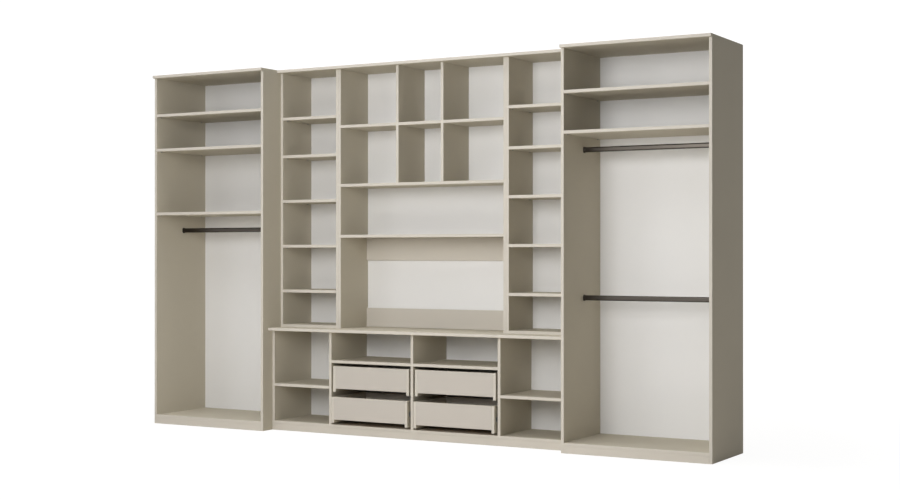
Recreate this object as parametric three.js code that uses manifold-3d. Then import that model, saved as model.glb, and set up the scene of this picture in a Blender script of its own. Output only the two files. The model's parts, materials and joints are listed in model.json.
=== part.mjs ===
// A free-standing storage wall of melamine-faced board. Two tall open wardrobes with clothes rails
// stand at the ends. Between them a low base with four drawers carries two shelf columns and an
// open media unit under one top.
// Millimetres, with +X to the right, +Y to the rear and +Z up. The origin is the middle of the
// footprint on the floor.
import * as THREE from "three";
import { mergeVertices } from "three/addons/utils/BufferGeometryUtils.js";
import Module from "manifold-3d";

const wasm = await Module();
wasm.setup();

// Overall sizes of the modules
const overallHeight = 2320;
const wardrobeWidth = 900;
const columnWidth = 450;
const middleWidth = 1200;
const wardrobeDepth = 512;
const baseDepth = 412;
const upperDepth = 322;
const counterHeight = 658;

// Boards
const boardThickness = 18;
const backThickness = 3;
const backRebate = 9;
const edgeEasing = 1;
const plinthHeight = 42;
const wardrobeTopOverhang = 20;
const upperTopOverhang = 40;
const counterOverhang = 46;

// Clearance between neighbouring pieces, and how far fused pieces run into each other
const jointGap = 0.3;
const fuseDepth = 1;
const cutOverrun = 1;

// Heights of shelf tops as shares of the clear height above the floor board or counter
const leftShelfShares = [0.893, 0.7904, 0.6008];
const rightShelfShares = [0.893, 0.7904];
const columnShelfShares = [0.8229, 0.6728, 0.4945, 0.3161, 0.1378];
const baseShelfShare = 0.4138;
const drawerShelfShare = 0.6966;
const upperFullShelfShare = 0.5572;
const lowerFullShelfShare = 0.3613;
const cubbyWidthShare = 0.354;

// Boards against the rear of the media bay
const backRailThickness = 16;
const lowerBackRailHeight = 122;
const upperBackRailHeight = 145;

// Clothes rails, an oval tube in ring sockets, with their heights and place in the depth as shares
const leftRailShare = 0.5492;
const upperRailShare = 0.7489;
const lowerRailShare = 0.3639;
const railDepthShare = 0.537;
const tubeHeight = 30;
const tubeWidth = 15;
const tubeWall = 1.5;
const collarWall = 2;
const collarLength = 10;
const flangeSideRim = 3;
const flangeEndRim = 1.5;
const flangeThickness = 3;
const arcSteps = 6;

// Drawers
const drawerFingerGap = 19;
const drawerSpacing = 31.5;
const drawerFloorGap = 13.5;
const drawerLegHeight = 19.5;
const drawerRearGap = 19;
const lowerDrawerOut = 18;
const drawerBottomThickness = 3;
const grooveDepth = 6;
const grooveRaise = 10;

// Drawer runners: a lipped channel on the upright holds a hat-shaped member on the drawer
const runnerSpace = 13;
const runnerHeight = 35;
const runnerFaceGap = 3;
const runnerLip = 6;
const runnerSheet = 1.2;
const runnerPlay = 0.4;
const runnerSetback = 20;

// Derived sizes
const overallWidth = 2 * wardrobeWidth + 2 * columnWidth + middleWidth;
const rearPlane = (wardrobeDepth + wardrobeTopOverhang) / 2;
const moduleInset = jointGap / 2;
const topUnderside = overallHeight - boardThickness;
const counterUnderside = counterHeight - boardThickness;
const floorBoardTop = plinthHeight + boardThickness;
const baseWidth = 2 * columnWidth + middleWidth;
const columnFloorTop = counterHeight + boardThickness;
const uprightLength = topUnderside - counterHeight - 2 * jointGap;
const backSetback = backThickness + jointGap;

const drawerBayWidth = middleWidth / 2 - boardThickness;
const drawerWidth = drawerBayWidth - 2 * runnerSpace;
const drawerDepth = baseDepth - backThickness - drawerRearGap;
const drawerShelfTop = floorBoardTop + drawerShelfShare * (counterUnderside - floorBoardTop);
const drawerShelfUnderside = drawerShelfTop - boardThickness;
const drawerStack = drawerShelfUnderside - floorBoardTop;
const drawerHeight = (drawerStack - drawerFingerGap - drawerSpacing - drawerFloorGap) / 2;
const lowerDrawerBase = floorBoardTop + drawerFloorGap;
const upperDrawerBase = lowerDrawerBase + drawerHeight + drawerSpacing;
const runnerLength = drawerDepth - 2 * runnerSetback;
const runnerReach = runnerSpace - runnerFaceGap;

// Finishes
const greigeBoard = new THREE.MeshStandardMaterial({ color: 0xc8c0b2, roughness: 0.55 });
const whiteBack = new THREE.MeshStandardMaterial({ color: 0xe2dfd9, roughness: 0.6 });
const railMetal = new THREE.MeshStandardMaterial({ color: 0x6f6a63, roughness: 0.35, metalness: 1 });

const storageWall = new THREE.Group();

function place(group, name, geometry, material, x, y, z) {
  const mesh = new THREE.Mesh(geometry, material);
  mesh.name = name;
  mesh.position.set(x, y, z);
  group.add(mesh);
}

function shapeOf(points) {
  return new THREE.Shape(points.map(([u, v]) => new THREE.Vector2(u, v)));
}

function extrude(shape, length) {
  return new THREE.ExtrudeGeometry(shape, {
    depth: length,
    bevelEnabled: false,
    curveSegments: arcSteps,
  });
}

// An outline in Y and Z, drawn out along X
function alongX(shape, length) {
  const turn = new THREE.Matrix4().makeBasis(
    new THREE.Vector3(0, 1, 0),
    new THREE.Vector3(0, 0, 1),
    new THREE.Vector3(1, 0, 0),
  );
  return extrude(shape, length).applyMatrix4(turn);
}

// An outline in X and Z, drawn out along Y
function alongY(shape, length) {
  const turn = new THREE.Matrix4().makeBasis(
    new THREE.Vector3(1, 0, 0),
    new THREE.Vector3(0, 0, 1),
    new THREE.Vector3(0, -1, 0),
  );
  return extrude(shape, length).applyMatrix4(turn).translate(0, length, 0);
}

function solidOf(geometry) {
  const bare = geometry.clone();
  bare.deleteAttribute("normal");
  bare.deleteAttribute("uv");
  const merged = mergeVertices(bare);
  return new wasm.Manifold(
    new wasm.Mesh({
      numProp: 3,
      vertProperties: merged.attributes.position.array,
      triVerts: Uint32Array.from(merged.index.array),
    }),
  );
}

function geometryOf(solid) {
  const mesh = solid.getMesh();
  const geometry = new THREE.BufferGeometry();
  geometry.setAttribute("position", new THREE.BufferAttribute(mesh.vertProperties, 3));
  geometry.setIndex(new THREE.BufferAttribute(mesh.triVerts, 1));
  const faceted = geometry.toNonIndexed();
  faceted.computeVertexNormals();
  return faceted;
}

function join(geometries) {
  const solids = geometries.map(solidOf);
  return geometryOf(solids.reduce((sum, solid) => sum.add(solid)));
}

function cut(geometry, tool) {
  return geometryOf(solidOf(geometry).subtract(solidOf(tool)));
}

// A board that lies flat, or a front that stands, with its two long front edges eased
function flatBoard(length, depth, thickness) {
  const outline = [
    [edgeEasing, 0],
    [depth, 0],
    [depth, thickness],
    [edgeEasing, thickness],
    [0, thickness - edgeEasing],
    [0, edgeEasing],
  ];
  return alongX(shapeOf(outline), length);
}

// An upright board with eased front edges; a rebate for the back runs down its rear corner
function upright(height, depth, rebateHand) {
  const thickness = boardThickness;
  const rebateFloor = rebateHand ? depth - backSetback : depth;
  const rebateWall = rebateHand ? thickness - backRebate : thickness;
  const outline = [
    [edgeEasing, 0],
    [thickness - edgeEasing, 0],
    [thickness, edgeEasing],
    [thickness, rebateFloor],
  ];
  if (rebateHand) outline.push([rebateWall, rebateFloor], [rebateWall, depth]);
  outline.push([0, depth], [0, edgeEasing]);
  const drawn = outline.map(([x, y]) => (rebateHand < 0 ? [thickness - x, y] : [x, y]));
  return extrude(shapeOf(drawn), height);
}

// A thin back board that reaches into the rebates on both sides of a clear width
function placeBack(group, name, innerLeft, innerRight, depth, bottom, top) {
  const reach = backRebate - jointGap;
  const width = innerRight - innerLeft + 2 * reach;
  const sheet = new THREE.BoxGeometry(width, backThickness, top - bottom);
  const middle = (innerLeft + innerRight) / 2;
  place(group, name, sheet, whiteBack, middle, depth - backThickness / 2, (bottom + top) / 2);
}

// A shelf between two uprights, with a joint gap at both ends and in front of the back
function placeShelf(group, name, innerLeft, innerRight, depth, top) {
  const length = innerRight - innerLeft - 2 * jointGap;
  const board = flatBoard(length, depth - backSetback, boardThickness);
  place(group, name, board, greigeBoard, innerLeft + jointGap, 0, top - boardThickness);
}

function placePlinth(group, name, innerLeft, innerRight) {
  const length = innerRight - innerLeft - 2 * jointGap;
  const board = flatBoard(length, boardThickness, plinthHeight - jointGap);
  place(group, name, board, greigeBoard, innerLeft + jointGap, 0, 0);
}

// Clothes rails

function ovalAlongX(width, height, length) {
  const radius = width / 2;
  const rise = height / 2 - radius;
  const shape = new THREE.Shape();
  shape.absarc(0, rise, radius, 0, Math.PI, false);
  shape.absarc(0, -rise, radius, Math.PI, 2 * Math.PI, false);
  return alongX(shape, length);
}

// The tube with a collar and a flange at each end, all bored through
function clothesRail(length) {
  const collarWidth = tubeWidth + 2 * collarWall;
  const collarHeight = tubeHeight + 2 * collarWall;
  const flangeWidth = collarWidth + 2 * flangeSideRim;
  const flangeHeight = collarHeight + 2 * flangeEndRim;
  const tube = ovalAlongX(tubeWidth, tubeHeight, length);
  const collar = ovalAlongX(collarWidth, collarHeight, collarLength);
  const flange = ovalAlongX(flangeWidth, flangeHeight, flangeThickness);
  const rail = join([
    tube,
    collar,
    flange,
    collar.clone().translate(length - collarLength, 0, 0),
    flange.clone().translate(length - flangeThickness, 0, 0),
  ]);
  const borePlay = 2 * tubeWall;
  const bore = ovalAlongX(tubeWidth - borePlay, tubeHeight - borePlay, length + 2 * cutOverrun);
  return cut(rail, bore.translate(-cutOverrun, 0, 0));
}

// Tall wardrobes at the ends

function wardrobe(name, left, shelfShares, rails) {
  const group = new THREE.Group();
  group.position.set(left, rearPlane - wardrobeDepth, 0);
  const outerRight = wardrobeWidth - moduleInset;
  const innerLeft = moduleInset + boardThickness;
  const innerRight = outerRight - boardThickness;
  const sideHeight = topUnderside - jointGap;
  const clearHeight = topUnderside - floorBoardTop;

  const side = (hand) => upright(sideHeight, wardrobeDepth, hand);
  place(group, `${name}_side_left`, side(1), greigeBoard, moduleInset, 0, 0);
  place(group, `${name}_side_right`, side(-1), greigeBoard, innerRight, 0, 0);

  const topLength = outerRight - moduleInset;
  const topBoard = flatBoard(topLength, wardrobeDepth + wardrobeTopOverhang, boardThickness);
  place(group, `${name}_top`, topBoard, greigeBoard, moduleInset, -wardrobeTopOverhang, topUnderside);

  placeShelf(group, `${name}_bottom`, innerLeft, innerRight, wardrobeDepth, floorBoardTop);
  placePlinth(group, `${name}_plinth`, innerLeft, innerRight);
  const backTop = sideHeight - jointGap;
  placeBack(group, `${name}_back`, innerLeft, innerRight, wardrobeDepth, plinthHeight, backTop);

  shelfShares.forEach((share, index) => {
    const top = floorBoardTop + share * clearHeight;
    placeShelf(group, `${name}_shelf_${index + 1}`, innerLeft, innerRight, wardrobeDepth, top);
  });

  const railLength = innerRight - innerLeft - 2 * jointGap;
  const railDepth = railDepthShare * wardrobeDepth;
  for (const [railName, share] of rails) {
    const height = floorBoardTop + share * clearHeight;
    const rail = clothesRail(railLength);
    place(group, `${name}_${railName}`, rail, railMetal, innerLeft + jointGap, railDepth, height);
  }
  storageWall.add(group);
}

// Drawer runners

// The channel on the upright, seen from the front, with its lips turned in towards the middle
function channelOutline(hand) {
  const half = runnerHeight / 2;
  const lipEnd = half - runnerLip;
  const flange = half - runnerSheet;
  const lipBack = runnerReach - runnerSheet;
  const upper = [
    [lipBack, flange],
    [lipBack, lipEnd],
    [runnerReach, lipEnd],
    [runnerReach, half],
    [-fuseDepth, half],
  ];
  const lower = upper.map(([x, z]) => [x, -z]).reverse();
  const outline = [...lower, [runnerSheet, -flange], [runnerSheet, flange], ...upper];
  return shapeOf(outline.map(([x, z]) => [hand * x, z]));
}

// The member on the drawer: its neck passes between the lips and its feet run behind them
function hatOutline(hand) {
  const neck = runnerHeight / 2 - runnerLip - runnerPlay;
  const footEnd = runnerHeight / 2 - runnerSheet - jointGap;
  const footFace = runnerReach - runnerSheet - runnerPlay;
  const footBack = footFace - runnerSheet;
  const neckInside = neck - runnerSheet;
  const upper = [
    [runnerSpace + fuseDepth, neck],
    [footFace, neck],
    [footFace, footEnd],
    [footBack, footEnd],
    [footBack, neckInside],
    [runnerSpace - runnerSheet, neckInside],
  ];
  const lower = upper.map(([x, z]) => [x, -z]).reverse();
  return shapeOf([...upper, ...lower].map(([x, z]) => [hand * x, z]));
}

// A channel on one face of an upright, with a tab at its rear end that stops the drawer
function channelOn(face, hand, height) {
  const closedLength = runnerLength + jointGap;
  const channel = alongY(channelOutline(hand), closedLength + runnerSheet);
  const tab = new THREE.BoxGeometry(runnerReach + fuseDepth, runnerSheet, runnerHeight);
  const tabMiddle = (hand * (runnerReach - fuseDepth)) / 2;
  const stopped = join([channel, tab.translate(tabMiddle, closedLength + runnerSheet / 2, 0)]);
  return stopped.translate(face, runnerSetback, height);
}

// Low base under the columns and the media unit

function base() {
  const group = new THREE.Group();
  const left = wardrobeWidth - overallWidth / 2;
  group.position.set(left, rearPlane - baseDepth, 0);
  const outerRight = baseWidth - moduleInset;
  const innerLeft = moduleInset + boardThickness;
  const innerRight = outerRight - boardThickness;
  const sideHeight = counterUnderside - jointGap;
  const clearHeight = counterUnderside - floorBoardTop;

  place(group, "base_side_left", upright(sideHeight, baseDepth, 1), greigeBoard, moduleInset, 0, 0);
  place(group, "base_side_right", upright(sideHeight, baseDepth, -1), greigeBoard, innerRight, 0, 0);

  const counter = flatBoard(outerRight - moduleInset, baseDepth + counterOverhang, boardThickness);
  place(group, "base_counter", counter, greigeBoard, moduleInset, -counterOverhang, counterUnderside);
  placeShelf(group, "base_bottom", innerLeft, innerRight, baseDepth, floorBoardTop);
  placePlinth(group, "base_plinth", innerLeft, innerRight);
  placeBack(group, "base_back", innerLeft, innerRight, baseDepth, plinthHeight, sideHeight - jointGap);

  // The dividers stand under the sides of the media unit and under its middle
  const dividerBase = floorBoardTop + jointGap;
  const runnerHeights = [lowerDrawerBase, upperDrawerBase].map(
    (bottom) => bottom + drawerHeight / 2 - dividerBase,
  );
  const dividerFaces = [[1], [-1, 1], [-1]];
  const dividerLefts = dividerFaces.map((_, index) => {
    const middle = columnWidth + (index * middleWidth) / 2;
    return middle - boardThickness / 2;
  });
  dividerFaces.forEach((hands, index) => {
    const board = upright(sideHeight - dividerBase, baseDepth - backSetback, 0);
    const channels = hands.flatMap((hand) =>
      runnerHeights.map((height) => channelOn(hand > 0 ? boardThickness : 0, hand, height)),
    );
    const divider = join([board, ...channels]);
    place(group, `base_divider_${index + 1}`, divider, greigeBoard, dividerLefts[index], 0, dividerBase);
  });

  const shelfTop = floorBoardTop + baseShelfShare * clearHeight;
  const [first, second, third] = dividerLefts;
  placeShelf(group, "base_shelf_left", innerLeft, first, baseDepth, shelfTop);
  placeShelf(group, "drawer_shelf_left", first + boardThickness, second, baseDepth, drawerShelfTop);
  placeShelf(group, "drawer_shelf_right", second + boardThickness, third, baseDepth, drawerShelfTop);
  placeShelf(group, "base_shelf_right", third + boardThickness, innerRight, baseDepth, shelfTop);

  for (const [side, bayLeft] of [["left", first + boardThickness], ["right", second + boardThickness]]) {
    const x = bayLeft + runnerSpace;
    group.add(drawer(`${side}_upper_drawer`, x, 0, upperDrawerBase));
    group.add(drawer(`${side}_lower_drawer`, x, -lowerDrawerOut, lowerDrawerBase));
  }
  storageWall.add(group);
}

// A drawer: two sides that reach lower than the front, a back, and a bottom held in grooves

function drawer(name, x, y, z) {
  const group = new THREE.Group();
  group.position.set(x, y, z);
  const innerWidth = drawerWidth - 2 * boardThickness;
  const frontHeight = drawerHeight - drawerLegHeight;
  const side = upright(drawerHeight, drawerDepth, 0);
  const rear = new THREE.BoxGeometry(innerWidth + 2 * fuseDepth, boardThickness, frontHeight);
  const rearMiddle = drawerDepth - boardThickness / 2;
  const runnerMiddle = drawerHeight / 2;
  const member = (hand) => alongY(hatOutline(hand), runnerLength);
  const walls = join([
    side,
    side.clone().translate(drawerWidth - boardThickness, 0, 0),
    rear.translate(drawerWidth / 2, rearMiddle, drawerLegHeight + frontHeight / 2),
    member(1).translate(-runnerSpace, runnerSetback, runnerMiddle),
    member(-1).translate(drawerWidth + runnerSpace, runnerSetback, runnerMiddle),
  ]);

  // The bottom reaches into a groove on all four sides, and the grooves clear it all round
  const bottomWidth = innerWidth + 2 * (grooveDepth - jointGap);
  const bottomFront = boardThickness - grooveDepth + jointGap;
  const bottomDepth = drawerDepth - 2 * bottomFront;
  const bottomMiddle = drawerLegHeight + grooveRaise + drawerBottomThickness / 2;
  const bottom = new THREE.BoxGeometry(bottomWidth, bottomDepth, drawerBottomThickness);
  const groove = new THREE.BoxGeometry(
    bottomWidth + 2 * jointGap,
    bottomDepth + 2 * jointGap,
    drawerBottomThickness + 2 * jointGap,
  ).translate(drawerWidth / 2, drawerDepth / 2, bottomMiddle);

  const frontLeft = boardThickness + jointGap;
  const front = flatBoard(innerWidth - 2 * jointGap, boardThickness, frontHeight);
  const seatedFront = cut(front.translate(frontLeft, 0, drawerLegHeight), groove);
  place(group, `${name}_front`, seatedFront, greigeBoard, 0, 0, 0);
  place(group, `${name}_box`, cut(walls, groove), greigeBoard, 0, 0, 0);
  place(group, `${name}_bottom`, bottom, whiteBack, drawerWidth / 2, drawerDepth / 2, bottomMiddle);
  return group;
}

// Shelf columns on the counter

// The outer side carries the column's floor and shelves; hand is 1 where they reach to the right
function columnComb(hand) {
  const side = upright(uprightLength, upperDepth, hand);
  const clearHeight = topUnderside - columnFloorTop;
  const reach = columnWidth - 2 * moduleInset - 2 * boardThickness - jointGap;
  const floorThickness = boardThickness - jointGap;
  const boardLeft = hand > 0 ? boardThickness - fuseDepth : -reach;
  const floor = flatBoard(reach + fuseDepth, upperDepth - backSetback, floorThickness);
  const boards = [floor.translate(boardLeft, 0, 0)];
  for (const share of columnShelfShares) {
    const top = columnFloorTop + share * clearHeight;
    const shelf = flatBoard(reach + fuseDepth, upperDepth - backSetback, boardThickness);
    boards.push(shelf.translate(boardLeft, 0, top - boardThickness - counterHeight - jointGap));
  }
  return join([side, ...boards]);
}

function column(name, left, hand) {
  const group = new THREE.Group();
  group.position.set(left, rearPlane - upperDepth, counterHeight + jointGap);
  const innerLeft = moduleInset + boardThickness;
  const innerRight = columnWidth - innerLeft;
  const outerSide = hand > 0 ? moduleInset : innerRight;
  const innerSide = hand > 0 ? innerRight : moduleInset;
  const plainSide = upright(uprightLength, upperDepth, -hand);
  place(group, `${name}_outer_side_and_shelves`, columnComb(hand), greigeBoard, outerSide, 0, 0);
  place(group, `${name}_inner_side`, plainSide, greigeBoard, innerSide, 0, 0);
  placeBack(group, `${name}_back`, innerLeft, innerRight, upperDepth, 0, uprightLength - jointGap);
  storageWall.add(group);
}

// Open media unit between the columns

function mediaUnit() {
  const group = new THREE.Group();
  const left = wardrobeWidth + columnWidth - overallWidth / 2;
  group.position.set(left, rearPlane - upperDepth, 0);
  const innerLeft = moduleInset + boardThickness;
  const innerRight = middleWidth - innerLeft;
  const innerWidth = innerRight - innerLeft;
  const footing = counterHeight + jointGap;
  const clearHeight = topUnderside - counterHeight;
  const side = (hand) => upright(uprightLength, upperDepth, hand);
  place(group, "media_side_left", side(1), greigeBoard, moduleInset, 0, footing);
  place(group, "media_side_right", side(-1), greigeBoard, innerRight, 0, footing);
  const backTop = topUnderside - 2 * jointGap;
  placeBack(group, "media_back", innerLeft, innerRight, upperDepth, footing, backTop);

  const upperShelfTop = counterHeight + upperFullShelfShare * clearHeight;
  const lowerShelfTop = counterHeight + lowerFullShelfShare * clearHeight;
  placeShelf(group, "media_shelf_upper", innerLeft, innerRight, upperDepth, upperShelfTop);
  placeShelf(group, "media_shelf_lower", innerLeft, innerRight, upperDepth, lowerShelfTop);

  // Two dividers and the shelves between them make six cubbies over the upper shelf
  const gridBottom = upperShelfTop + jointGap;
  const gridHeight = topUnderside - jointGap - gridBottom;
  const cubbyWidth = cubbyWidthShare * innerWidth;
  const divider = () => upright(gridHeight, upperDepth - backSetback, 0);
  const crossLength = innerWidth - 2 * jointGap;
  const cross = flatBoard(crossLength, upperDepth - backSetback, boardThickness);
  const grid = join([
    divider().translate(innerLeft + cubbyWidth, 0, 0),
    divider().translate(innerRight - cubbyWidth - boardThickness, 0, 0),
    cross.translate(innerLeft + jointGap, 0, (gridHeight - boardThickness) / 2),
  ]);
  place(group, "cubby_dividers_and_shelves", grid, greigeBoard, 0, 0, gridBottom);

  // Rails stand in front of the back, on the counter and under the lower shelf
  const railDepth = upperDepth - backSetback - backRailThickness;
  const railLength = innerWidth - 2 * jointGap;
  const railLeft = innerLeft + jointGap;
  const lowerRail = flatBoard(railLength, backRailThickness, lowerBackRailHeight - jointGap);
  const upperRail = flatBoard(railLength, backRailThickness, upperBackRailHeight - jointGap);
  const upperRailBottom = lowerShelfTop - boardThickness - upperBackRailHeight;
  place(group, "back_rail_lower", lowerRail, greigeBoard, railLeft, railDepth, footing);
  place(group, "back_rail_upper", upperRail, greigeBoard, railLeft, railDepth, upperRailBottom);
  storageWall.add(group);
}

function upperTop() {
  const length = baseWidth - 2 * moduleInset;
  const board = flatBoard(length, upperDepth + upperTopOverhang, boardThickness);
  const left = wardrobeWidth - overallWidth / 2 + moduleInset;
  const front = rearPlane - upperDepth - upperTopOverhang;
  place(storageWall, "upper_top", board, greigeBoard, left, front, topUnderside);
}

const leftEnd = -overallWidth / 2;
wardrobe("left_wardrobe", leftEnd, leftShelfShares, [["rail", leftRailShare]]);
wardrobe("right_wardrobe", -leftEnd - wardrobeWidth, rightShelfShares, [
  ["rail_upper", upperRailShare],
  ["rail_lower", lowerRailShare],
]);
base();
column("left_column", leftEnd + wardrobeWidth, 1);
column("right_column", -leftEnd - wardrobeWidth - columnWidth, -1);
mediaUnit();
upperTop();

export default storageWall;
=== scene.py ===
# Open storage wall of greige melamine board with white backs, dark clothes rails and four drawers.
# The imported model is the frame; this script adds its finishes, its small fittings and the studio.
import bpy
import bmesh
import json
import math
from mathutils import Matrix, Vector

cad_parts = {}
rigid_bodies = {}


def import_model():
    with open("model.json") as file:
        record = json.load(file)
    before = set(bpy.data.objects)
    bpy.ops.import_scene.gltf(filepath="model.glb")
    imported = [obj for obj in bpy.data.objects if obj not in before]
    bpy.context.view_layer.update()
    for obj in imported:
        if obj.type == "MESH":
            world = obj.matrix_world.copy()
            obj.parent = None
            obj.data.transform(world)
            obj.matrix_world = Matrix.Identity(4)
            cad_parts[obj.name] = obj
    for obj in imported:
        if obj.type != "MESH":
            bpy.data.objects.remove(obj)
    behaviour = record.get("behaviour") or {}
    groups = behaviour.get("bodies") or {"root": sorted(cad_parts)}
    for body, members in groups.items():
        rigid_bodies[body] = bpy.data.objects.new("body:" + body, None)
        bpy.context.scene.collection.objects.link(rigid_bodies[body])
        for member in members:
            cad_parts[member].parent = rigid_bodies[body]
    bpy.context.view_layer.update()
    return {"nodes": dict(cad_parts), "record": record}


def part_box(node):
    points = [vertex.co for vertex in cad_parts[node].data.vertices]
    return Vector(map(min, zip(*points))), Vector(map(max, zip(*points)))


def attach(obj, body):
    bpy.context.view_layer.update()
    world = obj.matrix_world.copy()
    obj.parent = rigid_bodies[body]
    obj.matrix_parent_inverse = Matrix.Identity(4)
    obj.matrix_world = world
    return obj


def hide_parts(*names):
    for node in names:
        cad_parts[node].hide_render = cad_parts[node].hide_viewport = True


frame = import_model()
cadNodes = frame["nodes"]
print("frame loaded:", len(cadNodes), "nodes")

millimetre = 0.001
collection = bpy.context.scene.collection


# a length from a settings dictionary, in metres
def mm(settings, name):
    return settings[name + "Mm"] * millimetre


# left_upper_drawer becomes leftUpperDrawer
def camelName(node):
    first, *others = node.split("_")
    return first + "".join(word.capitalize() for word in others)


# camera, from the photograph's own perspective
camera = {
    "position": (4.6806, -7.8666, 1.1364),
    "turnLeft": 29.75,
    "tiltUp": 0.12,
    "lens": 59.27,
    "sensor": 36.0,
    "farClip": 100,
}


def makeCamera(settings):
    data = bpy.data.cameras.new("camera")
    data.lens = settings["lens"]
    data.sensor_width = settings["sensor"]
    data.clip_end = settings["farClip"]
    eye = bpy.data.objects.new("camera", data)
    eye.location = settings["position"]
    tilt, turn = math.radians(90 + settings["tiltUp"]), math.radians(settings["turnLeft"])
    eye.rotation_euler = (tilt, 0, turn)
    collection.objects.link(eye)
    bpy.context.scene.camera = eye


makeCamera(camera)
bpy.context.scene.view_settings.view_transform = "Standard"

# materials

# a Mix node has several sockets of each name, so its colour sockets are reached by place
mixFactor, mixFirst, mixSecond, mixResult = 0, 6, 7, 2


def linear(hexColour):
    channels = [int(hexColour[i:i + 2], 16) / 255 for i in (1, 3, 5)]
    return tuple(
        c / 12.92 if c <= 0.04045 else ((c + 0.055) / 1.055) ** 2.4 for c in channels
    ) + (1,)


def addNode(tree, kind, values=None, links=None, **settings):
    node = tree.nodes.new(kind)
    for name, value in settings.items():
        setattr(node, name, value)
    for name, value in (values or {}).items():
        node.inputs[name].default_value = value
    for name, source in (links or {}).items():
        tree.links.new(source, node.inputs[name])
    return node


def newMaterial(name):
    material = bpy.data.materials.new(name)
    material.use_nodes = True
    tree = material.node_tree
    tree.nodes.clear()
    shader = addNode(tree, "ShaderNodeBsdfPrincipled")
    addNode(tree, "ShaderNodeOutputMaterial", links={"Surface": shader.outputs["BSDF"]})
    return material, tree, shader


# melamine-faced chipboard: decor paper pressed under a matt plate, so the sheen is soft and the
# surface has a faint pebble; the front edges carry a matt plastic band that is a little lighter
melamine = {
    "face": "#c6bfaf",
    "faceDeep": "#c2bbab",
    "band": "#cfc9bf",
    "drawerFront": "#c5bfb7",
    "bandTurn": -0.3,  # the band wraps round the eased edge, down to this Y of the normal
    "cloudMm": 260,
    "cloudDetail": 3.0,
    "pebbleMm": 7,  # the real pebble is under 1 mm; drawn coarser so that it shows
    "pebbleDetail": 2.0,
    "pebbleBumpMm": 0.02,
    "pebbleStrength": 0.6,
    "roughness": 0.6,
    "roughnessSpread": 0.05,
    "specular": 0.05,
}


def makeMelamine(name, settings, frontColour):
    material, tree, shader = newMaterial(name)
    place = addNode(tree, "ShaderNodeTexCoord")
    coordinates = place.outputs["Object"]
    cloud = addNode(
        tree, "ShaderNodeTexNoise",
        {"Scale": 1 / mm(settings, "cloud"), "Detail": settings["cloudDetail"]},
        {"Vector": coordinates},
    )
    face = addNode(
        tree, "ShaderNodeMix",
        {mixFirst: linear(settings["faceDeep"]), mixSecond: linear(settings["face"])},
        {mixFactor: cloud.outputs["Fac"]}, data_type="RGBA",
    )
    normal = addNode(tree, "ShaderNodeSeparateXYZ", links={"Vector": place.outputs["Normal"]})
    isBand = addNode(
        tree, "ShaderNodeMath", {1: settings["bandTurn"]}, {0: normal.outputs["Y"]},
        operation="LESS_THAN",
    )
    colour = addNode(
        tree, "ShaderNodeMix", {mixSecond: linear(settings[frontColour])},
        {mixFactor: isBand.outputs[0], mixFirst: face.outputs[mixResult]}, data_type="RGBA",
    )
    tree.links.new(colour.outputs[mixResult], shader.inputs["Base Color"])
    pebble = addNode(
        tree, "ShaderNodeTexNoise",
        {"Scale": 1 / mm(settings, "pebble"), "Detail": settings["pebbleDetail"]},
        {"Vector": coordinates},
    )
    rough = addNode(
        tree, "ShaderNodeMapRange",
        {"To Min": settings["roughness"] - settings["roughnessSpread"],
         "To Max": settings["roughness"] + settings["roughnessSpread"]},
        {"Value": pebble.outputs["Fac"]},
    )
    tree.links.new(rough.outputs[0], shader.inputs["Roughness"])
    bump = addNode(
        tree, "ShaderNodeBump",
        {"Strength": settings["pebbleStrength"], "Distance": mm(settings, "pebbleBump")},
        {"Height": pebble.outputs["Fac"]},
    )
    tree.links.new(bump.outputs["Normal"], shader.inputs["Normal"])
    shader.inputs["Specular IOR Level"].default_value = settings["specular"]
    return material


# thin fibreboard, roller-lacquered white on the face that shows and raw brown on the others
lacqueredBack = {
    "lacquer": "#efeeee",
    "lacquerDeep": "#ebebea",
    "raw": "#b08d66",
    "rawDeep": "#9c7a55",
    "lacqueredTurn": 0.5,  # lacquered where the normal points forwards or up by more than this
    "cloudMm": 320,
    "cloudDetail": 4.0,
    "fibreMm": 9,  # real fibres are under 1 mm wide; drawn coarser so that they show
    "fibreDetail": 5.0,
    "roughnessLeast": 0.49,
    "roughnessMost": 0.63,
    "specular": 0.15,
}


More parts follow.
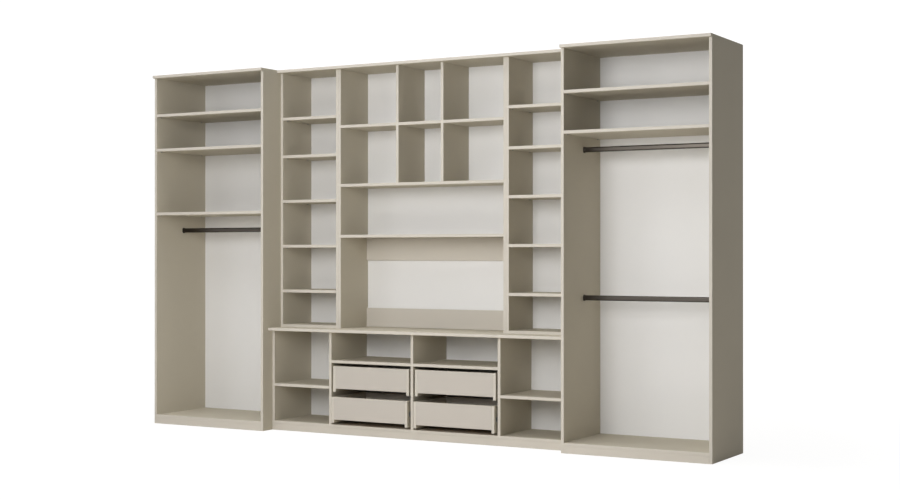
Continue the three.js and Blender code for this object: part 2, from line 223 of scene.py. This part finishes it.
def makeLacqueredBack(name, settings):
    material, tree, shader = newMaterial(name)
    place = addNode(tree, "ShaderNodeTexCoord")
    coordinates = place.outputs["Object"]
    cloud = addNode(
        tree, "ShaderNodeTexNoise",
        {"Scale": 1 / mm(settings, "cloud"), "Detail": settings["cloudDetail"]},
        {"Vector": coordinates},
    )
    fibre = addNode(
        tree, "ShaderNodeTexNoise",
        {"Scale": 1 / mm(settings, "fibre"), "Detail": settings["fibreDetail"]},
        {"Vector": coordinates},
    )
    lacquer = addNode(
        tree, "ShaderNodeMix",
        {mixFirst: linear(settings["lacquerDeep"]), mixSecond: linear(settings["lacquer"])},
        {mixFactor: cloud.outputs["Fac"]}, data_type="RGBA",
    )
    raw = addNode(
        tree, "ShaderNodeMix",
        {mixFirst: linear(settings["rawDeep"]), mixSecond: linear(settings["raw"])},
        {mixFactor: fibre.outputs["Fac"]}, data_type="RGBA",
    )
    # the backs show their front and the drawer bottoms their top
    normal = addNode(tree, "ShaderNodeSeparateXYZ", links={"Vector": place.outputs["Normal"]})
    facesFront = addNode(
        tree, "ShaderNodeMath", {1: -1.0}, {0: normal.outputs["Y"]}, operation="MULTIPLY",
    )
    shown = addNode(
        tree, "ShaderNodeMath", links={0: facesFront.outputs[0], 1: normal.outputs["Z"]},
        operation="MAXIMUM",
    )
    isLacquered = addNode(
        tree, "ShaderNodeMath", {1: settings["lacqueredTurn"]}, {0: shown.outputs[0]},
        operation="GREATER_THAN",
    )
    colour = addNode(
        tree, "ShaderNodeMix",
        links={mixFactor: isLacquered.outputs[0], mixFirst: raw.outputs[mixResult],
               mixSecond: lacquer.outputs[mixResult]},
        data_type="RGBA",
    )
    tree.links.new(colour.outputs[mixResult], shader.inputs["Base Color"])
    rough = addNode(
        tree, "ShaderNodeMapRange",
        {"To Min": settings["roughnessLeast"], "To Max": settings["roughnessMost"]},
        {"Value": fibre.outputs["Fac"]},
    )
    tree.links.new(rough.outputs[0], shader.inputs["Roughness"])
    shader.inputs["Specular IOR Level"].default_value = settings["specular"]
    return material


# oval steel tube, nickel-plated and brushed along its length, so highlights smear round it
satinNickel = {
    # painted reflection: the dark colour stands in for the dark surroundings that the plated tube
    # mirrors
    "colour": "#4b4742",
    "colourDeep": "#3d3934",
    "brushMm": 1.5,
    "brushLengthMm": 400,
    "brushDetail": 3.0,
    "roughnessLeast": 0.23,
    "roughnessMost": 0.36,
}

# cold-rolled steel with a thin bright zinc plating, a little cloudy and drawn along its length
brightZinc = {
    "colour": "#b4b6b6",
    "colourDeep": "#94979a",
    "brushMm": 4,
    "brushLengthMm": 60,
    "brushDetail": 3.0,
    "roughnessLeast": 0.33,
    "roughnessMost": 0.46,
}


def makeBrushedMetal(name, settings):
    material, tree, shader = newMaterial(name)
    place = addNode(tree, "ShaderNodeTexCoord")
    across, along = 1 / mm(settings, "brush"), 1 / mm(settings, "brushLength")
    stretch = addNode(
        tree, "ShaderNodeMapping", {"Scale": (along, across, across)},
        {"Vector": place.outputs["Object"]},
    )
    brush = addNode(
        tree, "ShaderNodeTexNoise", {"Scale": 1.0, "Detail": settings["brushDetail"]},
        {"Vector": stretch.outputs["Vector"]},
    )
    colour = addNode(
        tree, "ShaderNodeMix",
        {mixFirst: linear(settings["colourDeep"]), mixSecond: linear(settings["colour"])},
        {mixFactor: brush.outputs["Fac"]}, data_type="RGBA",
    )
    tree.links.new(colour.outputs[mixResult], shader.inputs["Base Color"])
    rough = addNode(
        tree, "ShaderNodeMapRange",
        {"To Min": settings["roughnessLeast"], "To Max": settings["roughnessMost"]},
        {"Value": brush.outputs["Fac"]},
    )
    tree.links.new(rough.outputs[0], shader.inputs["Roughness"])
    shader.inputs["Metallic"].default_value = 1.0
    return material


# moulded ABS caps in the colour of the boards, with the fine spark texture of their mould
mouldedAbs = {
    "colour": "#c8c3b4",
    "colourDeep": "#c0bbab",
    "sparkMm": 1.2,
    "sparkDetail": 2.0,
    "sparkBumpMm": 0.03,
    "sparkStrength": 0.5,
    "roughness": 0.45,
    "roughnessSpread": 0.06,
    "specular": 0.3,
}


def makeMouldedPlastic(name, settings):
    material, tree, shader = newMaterial(name)
    place = addNode(tree, "ShaderNodeTexCoord")
    spark = addNode(
        tree, "ShaderNodeTexNoise",
        {"Scale": 1 / mm(settings, "spark"), "Detail": settings["sparkDetail"]},
        {"Vector": place.outputs["Object"]},
    )
    colour = addNode(
        tree, "ShaderNodeMix",
        {mixFirst: linear(settings["colourDeep"]), mixSecond: linear(settings["colour"])},
        {mixFactor: spark.outputs["Fac"]}, data_type="RGBA",
    )
    tree.links.new(colour.outputs[mixResult], shader.inputs["Base Color"])
    rough = addNode(
        tree, "ShaderNodeMapRange",
        {"To Min": settings["roughness"] - settings["roughnessSpread"],
         "To Max": settings["roughness"] + settings["roughnessSpread"]},
        {"Value": spark.outputs["Fac"]},
    )
    tree.links.new(rough.outputs[0], shader.inputs["Roughness"])
    bump = addNode(
        tree, "ShaderNodeBump",
        {"Strength": settings["sparkStrength"], "Distance": mm(settings, "sparkBump")},
        {"Height": spark.outputs["Fac"]},
    )
    tree.links.new(bump.outputs["Normal"], shader.inputs["Normal"])
    shader.inputs["Specular IOR Level"].default_value = settings["specular"]
    return material


boardFinish = makeMelamine("mattMelamine", melamine, "band")
frontFinish = makeMelamine("mattMelamineFront", melamine, "drawerFront")
backFinish = makeLacqueredBack("lacqueredFibreboard", lacqueredBack)
railFinish = makeBrushedMetal("satinNickel", satinNickel)
zincFinish = makeBrushedMetal("brightZinc", brightZinc)
capFinish = makeMouldedPlastic("mouldedAbs", mouldedAbs)
print("materials made")


def setMaterial(piece, material):
    piece.data.materials.clear()
    piece.data.materials.append(material)


slotFinish = {"greige_board": boardFinish, "white_back": backFinish, "rail_metal": railFinish}
for subpart in frame["record"]["subparts"]:
    node = subpart["node"]
    isFront = node.endswith("_drawer_front")
    setMaterial(cadNodes[node], frontFinish if isFront else slotFinish[subpart["material_slot"]])

# new pieces


def finishPiece(name, bm, material, body, node=None):
    bmesh.ops.recalc_face_normals(bm, faces=bm.faces)
    mesh = bpy.data.meshes.new(name)
    bm.to_mesh(mesh)
    bm.free()
    piece = bpy.data.objects.new(name, mesh)
    collection.objects.link(piece)
    setMaterial(piece, material)
    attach(piece, body)
    if node:
        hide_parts(node)


# a face through these points, grown along a vector into a closed body
def extrudeSection(bm, points, along):
    face = bm.faces.new([bm.verts.new(point) for point in points])
    grown = bmesh.ops.extrude_face_region(bm, geom=[face])
    ends = [part for part in grown["geom"] if isinstance(part, bmesh.types.BMVert)]
    bmesh.ops.translate(bm, vec=along, verts=ends)


boards = {
    "thicknessMm": 18,
    "easeMm": 1,
    "easeSegments": 3,
    "gapMm": 0.3,
    "backThicknessMm": 3,
    "rebateMm": 9,
}
thickness = mm(boards, "thickness")
gap = mm(boards, "gap")
backSetback = mm(boards, "backThickness") + gap
alongX, alongZ = 0, 2  # the axis that the front edges of a board run along


# rounds the front edges that run along the board, as a router leaves them under the band
def easeFront(bm, front, axis):
    edges = [
        edge for edge in bm.edges
        if all(abs(vert.co.y - front) < gap for vert in edge.verts)
        and abs(edge.verts[0].co[axis] - edge.verts[1].co[axis]) > thickness
    ]
    bmesh.ops.bevel(bm, geom=edges, offset=mm(boards, "ease"), segments=boards["easeSegments"],
                    profile=0.5, affect="EDGES", material=-1)


# a plain board between two corners, with its long front edges eased
def boardBetween(low, high, axis):
    bm = bmesh.new()
    bmesh.ops.create_cube(bm, size=1)
    bmesh.ops.scale(bm, vec=high - low, verts=bm.verts)
    bmesh.ops.translate(bm, vec=(low + high) / 2, verts=bm.verts)
    easeFront(bm, low.y, axis)
    return bm


# a side with a rebate for the back along its rear inner corner; hand is 1 where the inside is at +X
def rebatedSide(low, high, hand):
    outer, inner = (low.x, high.x) if hand > 0 else (high.x, low.x)
    lip = inner - hand * mm(boards, "rebate")
    floor = high.y - backSetback
    outline = [
        (outer, low.y), (inner, low.y), (inner, floor),
        (lip, floor), (lip, high.y), (outer, high.y),
    ]
    bm = bmesh.new()
    extrudeSection(bm, [(x, y, low.z) for x, y in outline], (0, 0, high.z - low.z))
    easeFront(bm, low.y, alongZ)
    return bm


# shelf columns: the outer side, the floor and five shelves as separate boards
columns = {
    "hands": {"left": 1, "right": -1},
    "shelfShares": (0.8229, 0.6728, 0.4945, 0.3161, 0.1378),  # shelf tops in the clear height
}


def makeColumn(side, hand):
    node = side + "_column_outer_side_and_shelves"
    low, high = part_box(node)
    outerFace = low.x if hand > 0 else high.x
    innerFace = outerFace + hand * thickness
    sideLow = Vector((min(outerFace, innerFace), low.y, low.z))
    sideHigh = Vector((max(outerFace, innerFace), high.y, high.z))
    outerSide = rebatedSide(sideLow, sideHigh, hand)
    finishPiece(side + "ColumnOuterSide", outerSide, boardFinish, "carcass", node)
    near = innerFace + hand * gap
    far = high.x if hand > 0 else low.x
    left, right = min(near, far), max(near, far)
    rear = high.y - backSetback
    floorTop = low.z + thickness - gap
    clear = high.z + gap - floorTop
    tops = [floorTop] + [floorTop + share * clear for share in reversed(columns["shelfShares"])]
    for number, top in enumerate(tops):
        bottom = low.z if number == 0 else top - thickness
        name = side + ("ColumnFloor" if number == 0 else "ColumnShelf" + str(number))
        corner = Vector((right, rear, top))
        shelf = boardBetween(Vector((left, low.y, bottom)), corner, alongX)
        finishPiece(name, shelf, boardFinish, "carcass", node)


for side, hand in columns["hands"].items():
    makeColumn(side, hand)

# cubbies: two dividers with three short shelves between them
cubbies = {
    "node": "cubby_dividers_and_shelves",
    "outerWidthShare": 0.354,  # clear width of the two outer cubbies
}


def makeCubbies():
    node = cubbies["node"]
    low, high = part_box(node)
    innerLeft, innerRight = low.x - gap, high.x + gap
    outerWidth = cubbies["outerWidthShare"] * (innerRight - innerLeft)
    firstLeft = innerLeft + outerWidth
    secondLeft = innerRight - outerWidth - thickness
    for number, left in enumerate((firstLeft, secondLeft), 1):
        corner = Vector((left + thickness, high.y, high.z))
        divider = boardBetween(Vector((left, low.y, low.z)), corner, alongZ)
        name = "cubbyDivider" + str(number)
        finishPiece(name, divider, boardFinish, "carcass", node)
    bottom = (low.z + high.z - thickness) / 2
    spans = [
        (low.x, firstLeft - gap),
        (firstLeft + thickness + gap, secondLeft - gap),
        (secondLeft + thickness + gap, high.x),
    ]
    for number, (left, right) in enumerate(spans, 1):
        corner = Vector((right, high.y, bottom + thickness))
        shelf = boardBetween(Vector((left, low.y, bottom)), corner, alongX)
        name = "cubbyShelf" + str(number)
        finishPiece(name, shelf, boardFinish, "carcass", node)


makeCubbies()

# clothes rails: a hollow oval tube in a ring socket at each end
rails = {
    "nodes": {
        "leftRail": "left_wardrobe_rail",
        "rightUpperRail": "right_wardrobe_rail_upper",
        "rightLowerRail": "right_wardrobe_rail_lower",
    },
    "tubeWidthMm": 15,
    "tubeHeightMm": 30,
    "tubeWallMm": 1.5,
    "collarWallMm": 2,
    "collarLengthMm": 10,
    "flangeWidthMm": 25,
    "flangeHeightMm": 37,
    "flangeThicknessMm": 3,
    "fitMm": 0.1,
    "roundingMm": 0.6,
    "roundingSegments": 3,
    "segments": 36,
}


# a loop of edges round an upright oval at one x; the half step keeps a straight run on each side
def ovalLoop(bm, width, height, x, centre):
    radius = width / 2
    count = rails["segments"]
    halfStep = Matrix.Rotation(math.pi / count, 3, "Z")
    upright = Matrix.Rotation(math.pi / 2, 3, "Y")
    ring = bmesh.ops.create_circle(bm, segments=count, radius=radius)["verts"]
    bmesh.ops.rotate(bm, cent=(0, 0, 0), matrix=halfStep, verts=ring)
    bmesh.ops.rotate(bm, cent=(0, 0, 0), matrix=upright, verts=ring)
    for vert in ring:
        vert.co.z += math.copysign(height / 2 - radius, vert.co.z)
    bmesh.ops.translate(bm, vec=(x, centre.y, centre.z), verts=ring)
    return list({edge for vert in ring for edge in vert.link_edges})


# an oval ring from one x to another, with the rim at its far end rounded where asked
def ovalRing(bm, outer, inner, start, end, centre, rounding=0):
    loops = ovalLoop(bm, *outer, start, centre) + ovalLoop(bm, *inner, start, centre)
    ring = bmesh.ops.bridge_loops(bm, edges=loops)["faces"]
    grown = bmesh.ops.extrude_face_region(bm, geom=ring)["geom"]
    verts = [part for part in grown if isinstance(part, bmesh.types.BMVert)]
    bmesh.ops.translate(bm, vec=(end - start, 0, 0), verts=verts)
    if rounding:
        flat = [part for part in grown if isinstance(part, bmesh.types.BMFace)]
        rim = {edge for face in flat for edge in face.edges
               if len([f for f in edge.link_faces if f in flat]) == 1}
        bmesh.ops.bevel(bm, geom=list(rim), offset=rounding, segments=rails["roundingSegments"],
                        profile=0.5, affect="EDGES", material=-1)


def makeRail(name, node):
    low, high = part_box(node)
    centre = (low + high) / 2
    fit = mm(rails, "fit")
    tube = (mm(rails, "tubeWidth"), mm(rails, "tubeHeight"))
    bore = tuple(size - 2 * mm(rails, "tubeWall") for size in tube)
    seat = tuple(size + 2 * fit for size in tube)
    collar = tuple(size + 2 * mm(rails, "collarWall") for size in tube)
    flange = (mm(rails, "flangeWidth"), mm(rails, "flangeHeight"))
    rounding = mm(rails, "rounding")
    bm = bmesh.new()
    ovalRing(bm, tube, bore, low.x + fit, high.x - fit, centre)
    finishPiece(name + "Tube", bm, railFinish, "carcass", node)
    for end, start, hand in (("Left", low.x, 1), ("Right", high.x, -1)):
        bm = bmesh.new()
        plate = start + hand * mm(rails, "flangeThickness")
        tip = start + hand * mm(rails, "collarLength")
        ovalRing(bm, flange, seat, start, plate, centre, rounding)
        ovalRing(bm, collar, seat, plate, tip, centre, rounding)
        finishPiece(name + "Socket" + end, bm, railFinish, "carcass", node)


for name, node in rails["nodes"].items():
    makeRail(name, node)
print("columns, cubbies and rails made")

# drawer runners of folded sheet: a lipped channel on the divider and a hat section on the drawer
runner = {
    "spaceMm": 13,
    "heightMm": 35,
    "faceGapMm": 3,
    "lipMm": 6,
    "sheetMm": 1.2,
    "playMm": 0.4,
    "setbackMm": 20,
    "screwShares": (0.08, 0.5, 0.92),
}
runnerReach = mm(runner, "space") - mm(runner, "faceGap")

# pan heads with a recess, which hold the channels
screwHead = {
    "radiusMm": 3.4,
    "heightMm": 1.5,
    "recessMm": 0.8,
    "topShare": 0.7,
    "recessRimShare": 0.3,
    "segments": 20,
}


# the channel's section as seen from the front, from the face it is screwed to
def channelSection():
    half = mm(runner, "height") / 2
    sheet = mm(runner, "sheet")
    lipEnd = half - mm(runner, "lip")
    upper = [
        (runnerReach - sheet, half - sheet), (runnerReach - sheet, lipEnd),
        (runnerReach, lipEnd), (runnerReach, half), (0, half),
    ]
    lower = [(x, -z) for x, z in reversed(upper)]
    return lower + [(sheet, sheet - half), (sheet, half - sheet)] + upper


# the hat section, measured from the same face, with its crown on the drawer side
def hatSection():
    half = mm(runner, "height") / 2
    sheet = mm(runner, "sheet")
    space = mm(runner, "space")
    neck = half - mm(runner, "lip") - mm(runner, "play")
    footEnd = half - sheet - gap
    footFace = runnerReach - sheet - mm(runner, "play")
    upper = [
        (space, neck), (footFace, neck), (footFace, footEnd), (footFace - sheet, footEnd),
        (footFace - sheet, neck - sheet), (space - sheet, neck - sheet),
    ]
    return upper + [(x, -z) for x, z in reversed(upper)]


# a section on one face, from front to rear; hand is 1 where it stands out to +X
def placeSection(bm, section, face, hand, front, rear, height):
    points = [(face + hand * x, front, height + z) for x, z in section]
    extrudeSection(bm, points, (0, rear - front, 0))


# a round head on a face, with a recess pushed into it
def addScrewHead(bm, face, hand, y, z):
    radius = mm(screwHead, "radius")
    height = mm(screwHead, "height")
    made = bmesh.ops.create_cone(
        bm, cap_ends=True, segments=screwHead["segments"], radius1=radius,
        radius2=radius * screwHead["topShare"], depth=height,
    )["verts"]
    cap = max((f for v in made for f in v.link_faces), key=lambda f: f.calc_center_median().z)
    bmesh.ops.inset_region(bm, faces=[cap], thickness=radius * screwHead["recessRimShare"],
                           depth=-mm(screwHead, "recess"))
    verts = {vert for v in made for f in v.link_faces for vert in f.verts} | set(cap.verts)
    turn = Matrix.Rotation(hand * math.pi / 2, 3, "Y")
    bmesh.ops.rotate(bm, cent=(0, 0, 0), matrix=turn, verts=list(verts))
    bmesh.ops.translate(bm, vec=(face + hand * height / 2, y, z), verts=list(verts))


# the board of a base divider and the channels on its faces, in place of the fused node
dividerHands = {"base_divider_1": (1,), "base_divider_2": (-1, 1), "base_divider_3": (-1,)}


def makeChannel(name, node, face, hand, front, length, height):
    half = mm(runner, "height") / 2
    sheet = mm(runner, "sheet")
    rear = front + length + gap
    bm = bmesh.new()
    placeSection(bm, channelSection(), face, hand, front, rear, height)
    tab = [(0, -half), (runnerReach, -half), (runnerReach, half), (0, half)]
    placeSection(bm, tab, face, hand, rear, rear + sheet, height)
    for share in runner["screwShares"]:
        addScrewHead(bm, face + hand * sheet, hand, front + share * length, height)
    finishPiece(name, bm, zincFinish, "carcass", node)


def makeDivider(node, hands):
    low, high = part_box(node)
    left = high.x - thickness if hands == (-1,) else low.x
    if len(hands) == 2:
        left = (low.x + high.x - thickness) / 2
    corner = Vector((left + thickness, high.y, high.z))
    board = boardBetween(Vector((left, low.y, low.z)), corner, alongZ)
    name = camelName(node)
    finishPiece(name + "Board", board, boardFinish, "carcass", node)
    for level in ("lower", "upper"):
        boxLow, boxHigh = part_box("left_" + level + "_drawer_box")
        height = (boxLow.z + boxHigh.z) / 2
        length = boxHigh.y - boxLow.y - 2 * mm(runner, "setback")
        front = low.y + mm(runner, "setback")
        for hand in hands:
            face = left + thickness if hand > 0 else left
            side = "Right" if hand > 0 else "Left"
            title = name + side + level.capitalize() + "Channel"
            makeChannel(title, node, face, hand, front, length, height)


for node, hands in dividerHands.items():
    makeDivider(node, hands)

# drawer boxes: two sides that reach lower than the front, a rear wall and the hat sections
drawer = {
    "legMm": 19.5,
    "grooveRaiseMm": 10,
    "grooveDepthMm": 6,
    "bottomMm": 3,
}


# sinks a long slot into a vertical face of a board: cuts its outline, then pushes the face in
def sinkGroove(bm, low, high, push):
    for axis in (1, 2, 0):  # Y, Z, then X
        if push[axis]:
            continue
        normal = Vector((0, 0, 0))
        normal[axis] = 1
        for value in (low[axis], high[axis]):
            bmesh.ops.bisect_plane(bm, geom=bm.verts[:] + bm.edges[:] + bm.faces[:],
                                   plane_co=normal * value, plane_no=normal)
    direction = push.normalized()
    squareOn = -0.9  # the faces that look against the push
    inside = [
        face for face in bm.faces
        if face.normal.dot(direction) < squareOn
        and all(low[i] - gap < face.calc_center_median()[i] < high[i] + gap for i in range(3))
    ]
    grown = bmesh.ops.extrude_face_region(bm, geom=inside)["geom"]
    verts = [part for part in grown if isinstance(part, bmesh.types.BMVert)]
    bmesh.ops.translate(bm, vec=push, verts=verts)
    bmesh.ops.delete(bm, geom=inside, context="FACES")


def makeDrawerBox(name):
    title = camelName(name)
    node = name + "_box"
    low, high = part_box(node)
    frontLow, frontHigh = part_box(name + "_front")
    innerLeft, innerRight = frontLow.x - gap, frontHigh.x + gap
    depth = mm(drawer, "grooveDepth")
    grooveBottom = low.z + mm(drawer, "leg") + mm(drawer, "grooveRaise") - gap
    grooveTop = grooveBottom + mm(drawer, "bottom") + 2 * gap
    grooveFront = low.y + thickness - depth
    grooveRear = high.y - thickness + depth
    height = (low.z + high.z) / 2
    memberFront = low.y + mm(runner, "setback")
    memberRear = high.y - mm(runner, "setback")
    for end, inner, hand in (("Left", innerLeft, -1), ("Right", innerRight, 1)):
        outer = inner + hand * thickness
        left, right = min(inner, outer), max(inner, outer)
        corner = Vector((right, high.y, high.z))
        board = boardBetween(Vector((left, low.y, low.z)), corner, alongZ)
        grooveLow = Vector((inner, grooveFront, grooveBottom))
        grooveHigh = Vector((inner, grooveRear, grooveTop))
        sinkGroove(board, grooveLow, grooveHigh, Vector((hand * depth, 0, 0)))
        finishPiece(title + end + "Side", board, boardFinish, name, node)
        bm = bmesh.new()
        face = outer + hand * mm(runner, "space")
        placeSection(bm, hatSection(), face, -hand, memberFront, memberRear, height)
        finishPiece(title + end + "Member", bm, zincFinish, name, node)
    rearLow = Vector((innerLeft + gap, high.y - thickness, low.z + mm(drawer, "leg")))
    rearHigh = Vector((innerRight - gap, high.y, high.z))
    rear = boardBetween(rearLow, rearHigh, alongX)
    grooveLow = Vector((rearLow.x - gap, rearLow.y, grooveBottom))
    grooveHigh = Vector((rearHigh.x + gap, rearLow.y, grooveTop))
    sinkGroove(rear, grooveLow, grooveHigh, Vector((0, depth, 0)))
    finishPiece(title + "RearWall", rear, boardFinish, name, node)


for side in ("left", "right"):
    for level in ("upper", "lower"):
        makeDrawerBox(side + "_" + level + "_drawer")
print("drawers and runners made")

# small turned fittings
turned = {
    "steps": 20,
    "mergeMm": 0.01,
}


# a turned body: points of (length along the axis, radius), spun round the axis from a place
def addTurned(bm, profile, place, axis):
    side = axis.orthogonal().normalized()
    verts = [bm.verts.new(place + along * axis + radius * side) for along, radius in profile]
    edges = [bm.edges.new(pair) for pair in zip(verts, verts[1:])]
    bmesh.ops.spin(bm, geom=verts + edges, cent=place, axis=axis, angle=2 * math.pi,
                   steps=turned["steps"], use_merge=True)
    bmesh.ops.remove_doubles(bm, verts=bm.verts, dist=mm(turned, "merge"))


# plain zinc-plated pins, two under each end of every adjustable shelf
shelfPin = {
    "radiusMm": 2.5,
    "lengthMm": 8,
    "tipMm": 0.6,
    "playMm": 0.1,
    "insetMm": 45,
    "nodes": (
        "left_wardrobe_shelf_1",
        "left_wardrobe_shelf_2",
        "left_wardrobe_shelf_3",
        "right_wardrobe_shelf_1",
        "right_wardrobe_shelf_2",
        "base_shelf_left",
        "base_shelf_right",
    ),
}


def makeShelfPins(name, low, high):
    radius, length, tip = mm(shelfPin, "radius"), mm(shelfPin, "length"), mm(shelfPin, "tip")
    profile = [(0, 0), (0, radius), (length - tip, radius), (length, radius - tip), (length, 0)]
    inset = mm(shelfPin, "inset")
    height = low.z - radius - mm(shelfPin, "play")
    bm = bmesh.new()
    for face, hand in ((low.x - gap, 1), (high.x + gap, -1)):
        for y in (low.y + inset, high.y - inset):
            addTurned(bm, profile, Vector((face, y, height)), Vector((hand, 0, 0)))
    finishPiece(name + "Pins", bm, zincFinish, "carcass")


for node in shelfPin["nodes"]:
    makeShelfPins(camelName(node), *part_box(node))
for side in columns["hands"]:
    for number in range(1, len(columns["shelfShares"]) + 1):
        shelf = bpy.data.objects[side + "ColumnShelf" + str(number)]
        corners = [Vector(corner) for corner in shelf.bound_box]
        lowest, highest = corners[0], corners[6]  # opposite corners of the box
        makeShelfPins(shelf.name, lowest, highest)

# flat moulded caps over the connectors, in the undersides of the boards that are fixed
connectorCap = {
    "radiusMm": 8.5,
    "proudMm": 0.8,
    "rimMm": 0.4,
    "endInsetMm": 34,
    "frontInsetMm": 50,
    "nodes": (
        "media_shelf_upper",
        "media_shelf_lower",
        "drawer_shelf_left",
        "drawer_shelf_right",
    ),
}


def makeConnectorCaps(name, low, high):
    radius, proud = mm(connectorCap, "radius"), mm(connectorCap, "proud")
    rim = mm(connectorCap, "rim")
    profile = [(0, 0), (0, radius), (proud - rim, radius), (proud, radius - rim), (proud, 0)]
    endInset = mm(connectorCap, "endInset")
    frontInset = mm(connectorCap, "frontInset")
    bm = bmesh.new()
    for x in (low.x + endInset, high.x - endInset):
        for y in (low.y + frontInset, high.y - frontInset):
            addTurned(bm, profile, Vector((x, y, low.z)), Vector((0, 0, -1)))
    finishPiece(name + "Caps", bm, capFinish, "carcass")


for node in connectorCap["nodes"]:
    makeConnectorCaps(camelName(node), *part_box(node))
print("shelf pins and caps made")

# studio
studio = {
    "floorSize": 60,
    "backdropColour": "#ffffff",
    "backdropStrength": 1.08,
    "floorColour": "#ece7de",
    "floorRoughness": 0.9,
    "floorShadowShare": 0.12,
    "floorShadowNear": 2.5,  # the shadow share fades out between these distances from the middle
    "floorShadowFar": 4.5,
    "lamps": {
        "overheadLamp": {
            "place": (-1.2, -0.8, 6.5), "aim": (-1.2, -0.3, 0.0), "size": (4.0, 3.2), "power": 230,
        },
        "highLamp": {
            "place": (-1.0, -4.5, 5.5), "aim": (-0.5, 0.0, 1.2), "size": (2.5, 2.0), "power": 53,
        },
        "nearLamp": {
            "place": (1.0, -4.5, 2.2), "aim": (0.5, 0.0, 1.2), "size": (2.5, 2.0), "power": 76,
        },
        "frontLamp": {
            "place": (1.0, -7.0, 2.2), "aim": (0.5, 0.0, 1.2), "size": (2.5, 2.0), "power": 91,
        },
        "farLeftLamp": {
            "place": (-8.0, -14.0, 3.0), "aim": (0.0, 0.0, 1.2), "size": (4.0, 4.0), "power": 133,
        },
        "leftLamp": {
            "place": (-8.0, -2.0, 2.5), "aim": (-1.0, 0.0, 1.1), "size": (4.0, 4.0), "power": 37,
        },
        "rightLamp": {
            "place": (14.0, -4.0, 3.0), "aim": (0.0, 0.0, 1.2), "size": (4.0, 4.0), "power": 61,
        },
        "rearLamp": {
            "place": (-0.5, 8.0, 2.0), "aim": (0.0, 0.0, 1.2), "size": (4.0, 3.0), "power": 280,
        },
        "sideLamp": {
            "place": (7.0, 2.0, 1.8), "aim": (2.0, 0.0, 1.3), "size": (3.0, 2.5), "power": 40,
        },
    },
}


# 1 on the rays that see the backdrop instead of being lit by it
def seenRays(tree):
    rays = addNode(tree, "ShaderNodeLightPath")
    direct = addNode(
        tree, "ShaderNodeMath",
        links={0: rays.outputs["Is Camera Ray"], 1: rays.outputs["Is Glossy Ray"]},
        operation="MAXIMUM",
    )
    through = addNode(
        tree, "ShaderNodeMath",
        links={0: direct.outputs[0], 1: rays.outputs["Is Transmission Ray"]}, operation="MAXIMUM",
    )
    return through.outputs[0]


def makeWorld(settings):
    world = bpy.data.worlds.new("studioWorld")
    world.use_nodes = True
    tree = world.node_tree
    tree.nodes.clear()
    strength = addNode(
        tree, "ShaderNodeMath", {1: settings["backdropStrength"]}, {0: seenRays(tree)},
        operation="MULTIPLY",
    )
    backdrop = addNode(
        tree, "ShaderNodeBackground", {"Color": linear(settings["backdropColour"])},
        {"Strength": strength.outputs[0]},
    )
    addNode(tree, "ShaderNodeOutputWorld", links={"Surface": backdrop.outputs[0]})
    bpy.context.scene.world = world


# a pale floor: a camera or glossy ray sees the backdrop's white with a share of the lit floor and
# the object's shadow
def makeFloor(settings):
    mesh = bpy.data.meshes.new("floor")
    bm = bmesh.new()
    bmesh.ops.create_grid(bm, x_segments=1, y_segments=1, size=settings["floorSize"] / 2)
    bm.to_mesh(mesh)
    bm.free()
    floor = bpy.data.objects.new("floor", mesh)
    collection.objects.link(floor)
    material, tree, shader = newMaterial("paleFloor")
    shader.inputs["Base Color"].default_value = linear(settings["floorColour"])
    shader.inputs["Roughness"].default_value = settings["floorRoughness"]
    shader.inputs["Specular IOR Level"].default_value = 0.0
    place = addNode(tree, "ShaderNodeTexCoord")
    distance = addNode(
        tree, "ShaderNodeVectorMath", links={0: place.outputs["Object"]}, operation="LENGTH",
    )
    white = addNode(
        tree, "ShaderNodeMapRange",
        {"From Min": settings["floorShadowNear"], "From Max": settings["floorShadowFar"],
         "To Min": 1 - settings["floorShadowShare"]},
        {"Value": distance.outputs["Value"]},
    )
    share = addNode(
        tree, "ShaderNodeMath", links={0: seenRays(tree), 1: white.outputs[0]},
        operation="MULTIPLY",
    )
    glow = addNode(
        tree, "ShaderNodeEmission",
        {"Color": linear(settings["backdropColour"]), "Strength": settings["backdropStrength"]},
    )
    mix = addNode(
        tree, "ShaderNodeMixShader",
        links={0: share.outputs[0], 1: shader.outputs[0], 2: glow.outputs[0]},
    )
    output = next(n for n in tree.nodes if n.type == "OUTPUT_MATERIAL")
    tree.links.new(mix.outputs[0], output.inputs["Surface"])
    setMaterial(floor, material)


def makeLamp(name, lamp):
    data = bpy.data.lights.new(name, "AREA")
    data.shape = "RECTANGLE"
    data.size, data.size_y = lamp["size"]
    data.energy = lamp["power"]
    body = bpy.data.objects.new(name, data)
    body.location = lamp["place"]
    aim = Vector(lamp["aim"]) - Vector(lamp["place"])
    body.rotation_euler = aim.to_track_quat("-Z", "Y").to_euler()
    collection.objects.link(body)


makeWorld(studio)
makeFloor(studio)
for name, lamp in studio["lamps"].items():
    makeLamp(name, lamp)
print("studio made")
